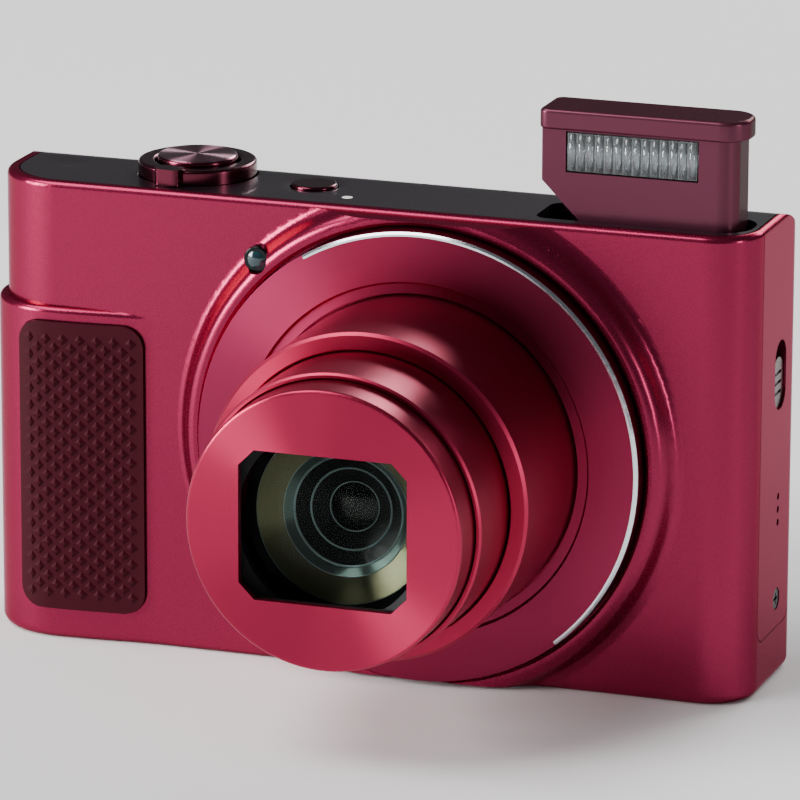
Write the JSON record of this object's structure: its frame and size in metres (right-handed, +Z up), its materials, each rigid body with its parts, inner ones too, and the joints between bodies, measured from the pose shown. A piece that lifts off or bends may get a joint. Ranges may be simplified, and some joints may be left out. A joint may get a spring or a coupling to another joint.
{
  "type": "compact digital camera",
  "caption": "Pocket digital camera with a telescoping zoom lens, lens barrier, pop-up flash, grip, screen, buttons, battery door and inner parts, all as separate jointed pieces.",
  "frame": {"origin": "mouth of the tripod socket, in the base plane", "axes": "+Z up, the lens looks along -Y, +X to the flash side (right in a front view), grip at -X"},
  "size_m": [0.0966, 0.0605, 0.0699],
  "materials": {
    "case_metal": "metallic crimson",
    "bezel_metal": "metallic dark rose",
    "barrel_metal": "turned, metallic crimson",
    "accent_metal": "bright",
    "dark_plastic": "dark plum",
    "grip_rubber": "moulded diamonds",
    "flash_plastic": "plum, fine pearl",
    "black_plastic": "moulded, matte",
    "button_plastic": "moulded",
    "lens_glass": "coated",
    "clear_plastic": "clear, ribbed",
    "screen_glass": "gloss black",
    "steel": "plain",
    "dark_metal": "black anodised",
    "board": "solder mask",
    "battery_shell": "moulded",
    "red_dot": "moulded",
    "white_plastic": "moulded"
  },
  "bodies": {
    "camera": {"front_cover": "case_metal", "rear_cover": "case_metal", "top_plate": "dark_plastic", "side_panel": "case_metal", "grip_pad": "grip_rubber", "lens_ring": "bezel_metal", "ring_accent": "accent_metal", "af_lamp_window": "lens_glass", "status_lamps": "white_plastic", "lcd_window": "screen_glass", "lcd_module": "black_plastic", "chassis_plate": "steel", "main_board": "board", "battery": "battery_shell", "battery_case": "black_plastic", "memory_card": "black_plastic", "card_slot": "steel", "flash_capacitor": "black_plastic", "tripod_socket": "steel", "case_screws": "dark_metal", "strap_eyelet": "steel", "hdmi_port": "steel", "usb_port": "steel", "speaker": "black_plastic", "microphones": "steel", "image_sensor": "dark_metal", "rear_lens": "lens_glass", "lens_housing": "black_plastic", "zoom_motor": "steel", "door_hinge_pin": "steel", "flash_spring": "steel"},
    "barrel_outer": {"barrel_outer": "barrel_metal"},
    "barrel_middle": {"barrel_middle": "barrel_metal", "second_lens": "lens_glass"},
    "barrel_inner": {"barrel_inner": "barrel_metal", "front_plate": "barrel_metal", "lens_baffle": "black_plastic", "front_lens": "lens_glass"},
    "blade_upper_inner": {"blade_upper_inner": "dark_metal"},
    "blade_upper_outer": {"blade_upper_outer": "dark_metal"},
    "blade_lower_inner": {"blade_lower_inner": "dark_metal"},
    "blade_lower_outer": {"blade_lower_outer": "dark_metal"},
    "zoom_drive_ring": {"zoom_drive_ring": "black_plastic"},
    "zoom_pinion": {"zoom_pinion": "white_plastic"},
    "zoom_lever": {"zoom_lever": "dark_plastic"},
    "shutter_button": {"shutter_button": "dark_metal"},
    "power_button": {"power_button": "dark_plastic"},
    "flash_head": {"flash_housing": "flash_plastic", "flash_cap": "dark_plastic", "flash_window": "clear_plastic", "flash_reflector": "accent_metal", "flash_tube": "clear_plastic"},
    "flash_switch": {"flash_switch": "button_plastic"},
    "playback_button": {"playback_button": "button_plastic"},
    "menu_button": {"menu_button": "button_plastic"},
    "movie_button": {"movie_button": "button_plastic"},
    "four_way_pad": {"four_way_pad": "button_plastic"},
    "set_button": {"set_button": "button_plastic"},
    "battery_door": {"battery_door": "dark_plastic"},
    "terminal_cover": {"terminal_cover": "dark_plastic"}
  },
  "joints": [
    {"name": "lens_extend", "type": "slide", "parent": "camera", "child": "barrel_outer", "axis": [0, -1, 0], "range_m": [-0.0172, 0]},
    {"name": "middle_extend", "type": "slide", "parent": "barrel_outer", "child": "barrel_middle", "axis": [0, -1, 0], "range_m": [-0.0096, 0]},
    {"name": "inner_extend", "type": "slide", "parent": "barrel_middle", "child": "barrel_inner", "axis": [0, -1, 0], "range_m": [-0.0046, 0]},
    {"name": "drive_ring_turn", "type": "hinge", "parent": "camera", "child": "zoom_drive_ring", "pos_m": [0.00903, 0.00275, 0.0283], "axis": [0, 1, 0], "range_deg": [0, 70.5]},
    {"name": "pinion_turn", "type": "hinge", "parent": "camera", "child": "zoom_pinion", "pos_m": [0.02818, 0.00275, 0.01223], "axis": [0, 1, 0], "range_deg": [-660, 0]},
    {"name": "barrier_close", "type": "slide", "parent": "barrel_inner", "child": "blade_upper_inner", "axis": [0, 0, -1], "range_m": [0, 0.0089]},
    {"name": "blade_lower_inner_slide", "type": "slide", "parent": "barrel_inner", "child": "blade_lower_inner", "axis": [0, 0, 1], "range_m": [0, 0.0089]},
    {"name": "blade_upper_outer_slide", "type": "slide", "parent": "barrel_inner", "child": "blade_upper_outer", "axis": [0, 0, -1], "range_m": [0, 0.0046]},
    {"name": "blade_lower_outer_slide", "type": "slide", "parent": "barrel_inner", "child": "blade_lower_outer", "axis": [0, 0, 1], "range_m": [0, 0.0046]},
    {"name": "zoom_lever_turn", "type": "hinge", "parent": "camera", "child": "zoom_lever", "pos_m": [-0.024, -0.0011, 0.057], "axis": [0, 0, 1], "range_deg": [-25, 25], "stiffness_Nm_per_rad": 0.03},
    {"name": "shutter_press", "type": "slide", "parent": "camera", "child": "shutter_button", "axis": [0, 0, -1], "range_m": [0, 0.001], "stiffness_N_per_m": 800, "springref_m": -0.0003},
    {"name": "power_press", "type": "slide", "parent": "camera", "child": "power_button", "axis": [0, 0, -1], "range_m": [0, 0.0005], "stiffness_N_per_m": 2000, "springref_m": -0.0002},
    {"name": "flash_lift", "type": "slide", "parent": "camera", "child": "flash_head", "axis": [0, 0, 1], "range_m": [-0.013, 0], "stiffness_N_per_m": 30, "springref_m": 0.012, "deforming": ["flash_spring"]},
    {"name": "flash_switch_slide", "type": "slide", "parent": "camera", "child": "flash_switch", "axis": [0, 0, 1], "range_m": [0, 0.002], "stiffness_N_per_m": 400, "springref_m": -0.0005},
    {"name": "playback_press", "type": "slide", "parent": "camera", "child": "playback_button", "axis": [0, -1, 0], "range_m": [0, 0.0004], "stiffness_N_per_m": 3000, "springref_m": -0.0001},
    {"name": "menu_press", "type": "slide", "parent": "camera", "child": "menu_button", "axis": [0, -1, 0], "range_m": [0, 0.0004], "stiffness_N_per_m": 3000, "springref_m": -0.0001},
    {"name": "movie_press", "type": "slide", "parent": "camera", "child": "movie_button", "axis": [0, -1, 0], "range_m": [0, 0.0004], "stiffness_N_per_m": 3000, "springref_m": -0.0001},
    {"name": "four_way_tilt", "type": "hinge", "parent": "camera", "child": "four_way_pad", "pos_m": [-0.0325, 0.0105, 0.0195], "axis": [1, 0, 0], "range_deg": [-2.5, 2.5], "stiffness_Nm_per_rad": 0.34},
    {"name": "set_press", "type": "slide", "parent": "camera", "child": "set_button", "axis": [0, -1, 0], "range_m": [0, 0.0004], "stiffness_N_per_m": 3000, "springref_m": -0.0001},
    {"name": "battery_door_open", "type": "hinge", "parent": "camera", "child": "battery_door", "pos_m": [-0.0293, 0.005, 0.0008], "axis": [1, 0, 0], "range_deg": [0, 95]},
    {"name": "terminal_cover_open", "type": "hinge", "parent": "camera", "child": "terminal_cover", "pos_m": [-0.0478, 0.0002, 0.028], "axis": [0, 0, 1], "range_deg": [0, 100]}
  ],
  "couplings": [
    {"joint": "middle_extend", "follows": "lens_extend", "ratio": 0.558},
    {"joint": "inner_extend", "follows": "lens_extend", "ratio": 0.267},
    {"joint": "drive_ring_turn", "follows": "lens_extend", "rad_per_m": -71.03},
    {"joint": "pinion_turn", "follows": "lens_extend", "rad_per_m": 668.87},
    {"joint": "blade_lower_inner_slide", "follows": "barrier_close", "ratio": 1},
    {"joint": "blade_upper_outer_slide", "follows": "barrier_close", "ratio": 0.514},
    {"joint": "blade_lower_outer_slide", "follows": "barrier_close", "ratio": 0.514}
  ]
}
